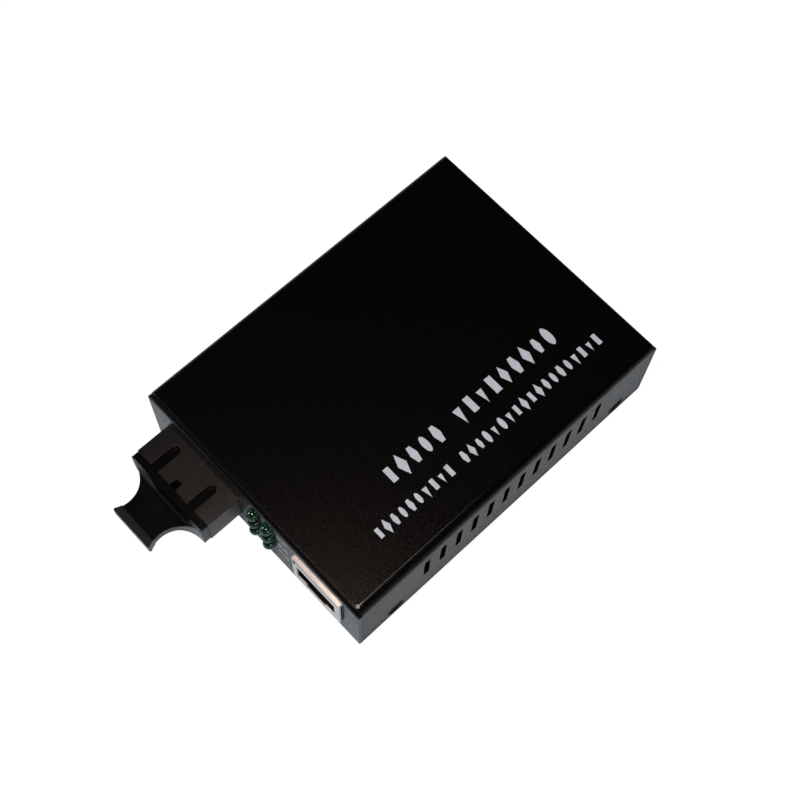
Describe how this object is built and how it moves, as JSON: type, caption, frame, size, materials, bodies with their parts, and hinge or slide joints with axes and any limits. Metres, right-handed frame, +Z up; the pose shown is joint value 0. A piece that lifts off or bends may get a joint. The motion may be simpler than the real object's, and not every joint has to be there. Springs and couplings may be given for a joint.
{
  "type": "fibre media converter",
  "caption": "Small vented sheet-metal converter box with a duplex fibre port closed by a pull-out dust plug, a copper network socket, status lamps and a power inlet.",
  "frame": {"origin": "centre of the case's underside, on the surface it stands on", "axes": "+X to the right of someone facing the front panel, +Y from the front panel to the rear panel, +Z up"},
  "size_m": [0.0706, 0.1159, 0.026],
  "materials": {
    "coat": "black powder coat, fine texture, semi-gloss",
    "black_screw": "black coated steel, semi-gloss",
    "zinc_screw": "zinc plated, satin",
    "board": "green solder resist, gloss",
    "plated_brass": "nickel plated, satin",
    "optic_moulding": "black moulding, semi-gloss",
    "latch_moulding": "dark moulding, satin",
    "barrel_steel": "turned steel, satin",
    "plug_moulding": "black moulding, satin",
    "lamp": "green tinted clear epoxy, gloss",
    "holder_moulding": "black moulding, matte",
    "tinned_lead": "tin plated, satin",
    "jack_moulding": "black moulding, satin",
    "shield_steel": "nickel plated sheet, satin",
    "gold_contact": "gold plated, gloss",
    "chip_moulding": "black epoxy, matte",
    "capacitor_sleeve": "dark blue sleeve, gloss",
    "ferrite": "grey ferrite, matte",
    "fuse_moulding": "tan ceramic, matte"
  },
  "bodies": {
    "case": {"cover": "coat", "chassis": "coat", "cover_screws": "black_screw", "circuit_board": "board", "board_pillars": "plated_brass", "board_screws": "zinc_screw", "optic_housing": "optic_moulding", "latch_inserts": "latch_moulding", "optic_sender": "barrel_steel", "optic_receiver": "barrel_steel", "optic_cap": "optic_moulding", "optic_board": "board", "optic_pins": "tinned_lead", "lamp_holder": "holder_moulding", "lamp_leads": "tinned_lead", "jack_housing": "jack_moulding", "jack_shield": "shield_steel", "jack_contacts": "gold_contact", "inlet_body": "jack_moulding", "inlet_pin": "tinned_lead", "inlet_contacts": "tinned_lead", "converter_chip": "chip_moulding", "line_transformer": "chip_moulding", "memory_chip": "chip_moulding", "regulator": "chip_moulding", "capacitor_input": "capacitor_sleeve", "capacitor_output": "capacitor_sleeve", "crystal": "shield_steel", "power_coil": "ferrite", "board_fuse": "fuse_moulding", "chip_resistors": "chip_moulding", "chip_capacitors": "fuse_moulding", "lamp_lower_left": "lamp", "lamp_lower_right": "lamp", "lamp_middle_left": "lamp", "lamp_middle_right": "lamp", "lamp_upper_left": "lamp", "lamp_upper_right": "lamp"},
    "plug": {"dust_plug": "plug_moulding"}
  },
  "joints": [
    {"name": "dust_plug_slide", "type": "slide", "parent": "case", "child": "plug", "axis": [0, -1, 0], "range_m": [0, 0.012]}
  ]
}
